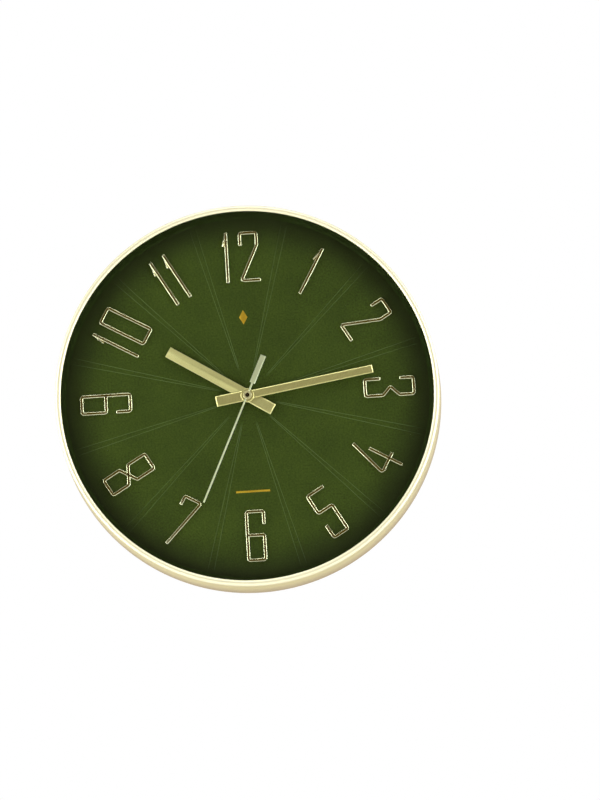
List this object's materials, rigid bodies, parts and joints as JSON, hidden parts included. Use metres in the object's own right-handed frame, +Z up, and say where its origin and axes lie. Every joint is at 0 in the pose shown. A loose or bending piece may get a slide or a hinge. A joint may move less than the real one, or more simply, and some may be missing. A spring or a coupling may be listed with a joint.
{
  "type": "wall clock",
  "caption": "Round wall clock: shallow gold drum case, deep green leatherette dial, raised open numerals, three flat hands, geared quartz movement and keyhole hanger.",
  "frame": {"origin": "centre of the back rim, on the wall", "axes": "+Z up to twelve o'clock, the dial faces -Y, +Y points into the wall, +X to three o'clock"},
  "size_m": [0.3, 0.04, 0.3],
  "materials": {
    "case_gold": "satin, metallised gold",
    "lens_glass": "clear float glass",
    "ring_plastic": "matt, dark green-black",
    "dial_leatherette": "matt embossed leatherette, deep green",
    "print_gold": "satin gold foil",
    "numeral_gold": "polished",
    "hand_gold": "satin gold lacquer",
    "carrier_plastic": "moulded, fine texture",
    "brass": "turned",
    "rubber": "matt",
    "movement_plastic": "moulded, fine texture",
    "train_plastic": "moulded",
    "gear_plastic": "moulded acetal",
    "magnet": "sintered",
    "sheet_steel": "stamped",
    "bobbin_plastic": "moulded",
    "copper_wire": "enamelled",
    "board": "solder mask",
    "contact_nickel": "nickel-plated",
    "battery_can": "printed sleeve",
    "knob_plastic": "moulded",
    "zinc_plate": "zinc-plated"
  },
  "bodies": {
    "root": {"case_shell": "case_gold", "glass_lens": "lens_glass", "spacer_ring": "ring_plastic", "dial": "dial_leatherette", "dial_emblem": "print_gold", "dial_bar": "print_gold", "numeral_01": "numeral_gold", "numeral_02": "numeral_gold", "numeral_03": "numeral_gold", "numeral_04": "numeral_gold", "numeral_05": "numeral_gold", "numeral_06": "numeral_gold", "numeral_07": "numeral_gold", "numeral_08": "numeral_gold", "numeral_09": "numeral_gold", "numeral_10": "numeral_gold", "numeral_11": "numeral_gold", "numeral_12": "numeral_gold", "dial_carrier": "carrier_plastic", "brass_washer": "brass", "fixing_nut": "brass", "rubber_washer": "rubber", "movement_base": "movement_plastic", "movement_cover": "movement_plastic", "train_plate": "train_plastic", "stator": "sheet_steel", "coil_core": "sheet_steel", "coil_bobbin": "bobbin_plastic", "coil_winding": "copper_wire", "circuit_board": "board", "quartz_crystal": "sheet_steel", "contact_positive": "contact_nickel", "contact_negative": "contact_nickel", "battery": "battery_can", "hanger_plate": "zinc_plate", "hanger_posts": "carrier_plastic", "hanger_screws": "zinc_plate"},
    "second": {"second_wheel": "gear_plastic", "second_hand": "hand_gold"},
    "third": {"third_wheel": "gear_plastic"},
    "minute": {"centre_wheel": "gear_plastic", "cannon_pinion": "brass", "minute_hand": "hand_gold"},
    "reduction": {"reduction_wheel": "gear_plastic"},
    "hour": {"hour_wheel": "gear_plastic", "hour_hand": "hand_gold"},
    "intermediate": {"intermediate_wheel": "gear_plastic"},
    "rotor": {"rotor_pinion": "gear_plastic", "rotor_magnet": "magnet"},
    "knob": {"setting_knob": "knob_plastic"}
  },
  "joints": [
    {"name": "second_turn", "type": "hinge", "parent": "root", "child": "second", "pos_m": [0, -0.013, 0], "axis": [0, 1, 0], "continuous": true},
    {"name": "third_turn", "type": "hinge", "parent": "root", "child": "third", "pos_m": [-0.01083, -0.014, 0.00191], "axis": [0, 1, 0], "continuous": true},
    {"name": "minute_turn", "type": "hinge", "parent": "root", "child": "minute", "pos_m": [0, -0.02, 0], "axis": [0, 1, 0], "continuous": true},
    {"name": "reduction_turn", "type": "hinge", "parent": "root", "child": "reduction", "pos_m": [-0.0045, -0.0185, 0.00779], "axis": [0, 1, 0], "continuous": true},
    {"name": "hour_turn", "type": "hinge", "parent": "root", "child": "hour", "pos_m": [0, -0.025, 0], "axis": [0, 1, 0], "continuous": true},
    {"name": "intermediate_turn", "type": "hinge", "parent": "root", "child": "intermediate", "pos_m": [0.00987, -0.01, 0.00359], "axis": [0, 1, 0], "continuous": true},
    {"name": "rotor_turn", "type": "hinge", "parent": "root", "child": "rotor", "pos_m": [0.01462, -0.014, 0.01182], "axis": [0, 1, 0], "continuous": true},
    {"name": "knob_turn", "type": "hinge", "parent": "root", "child": "knob", "pos_m": [-0.01086, -0.0065, 0.01416], "axis": [0, 1, 0], "continuous": true}
  ],
  "couplings": [
    {"joint": "third_turn", "follows": "second_turn", "ratio": -0.13333},
    {"joint": "minute_turn", "follows": "second_turn", "ratio": 0.016667},
    {"joint": "reduction_turn", "follows": "second_turn", "ratio": -0.0055556},
    {"joint": "hour_turn", "follows": "second_turn", "ratio": 0.0013889},
    {"joint": "intermediate_turn", "follows": "second_turn", "ratio": -6},
    {"joint": "rotor_turn", "follows": "second_turn", "ratio": 30},
    {"joint": "knob_turn", "follows": "second_turn", "ratio": 0.016667}
  ]
}
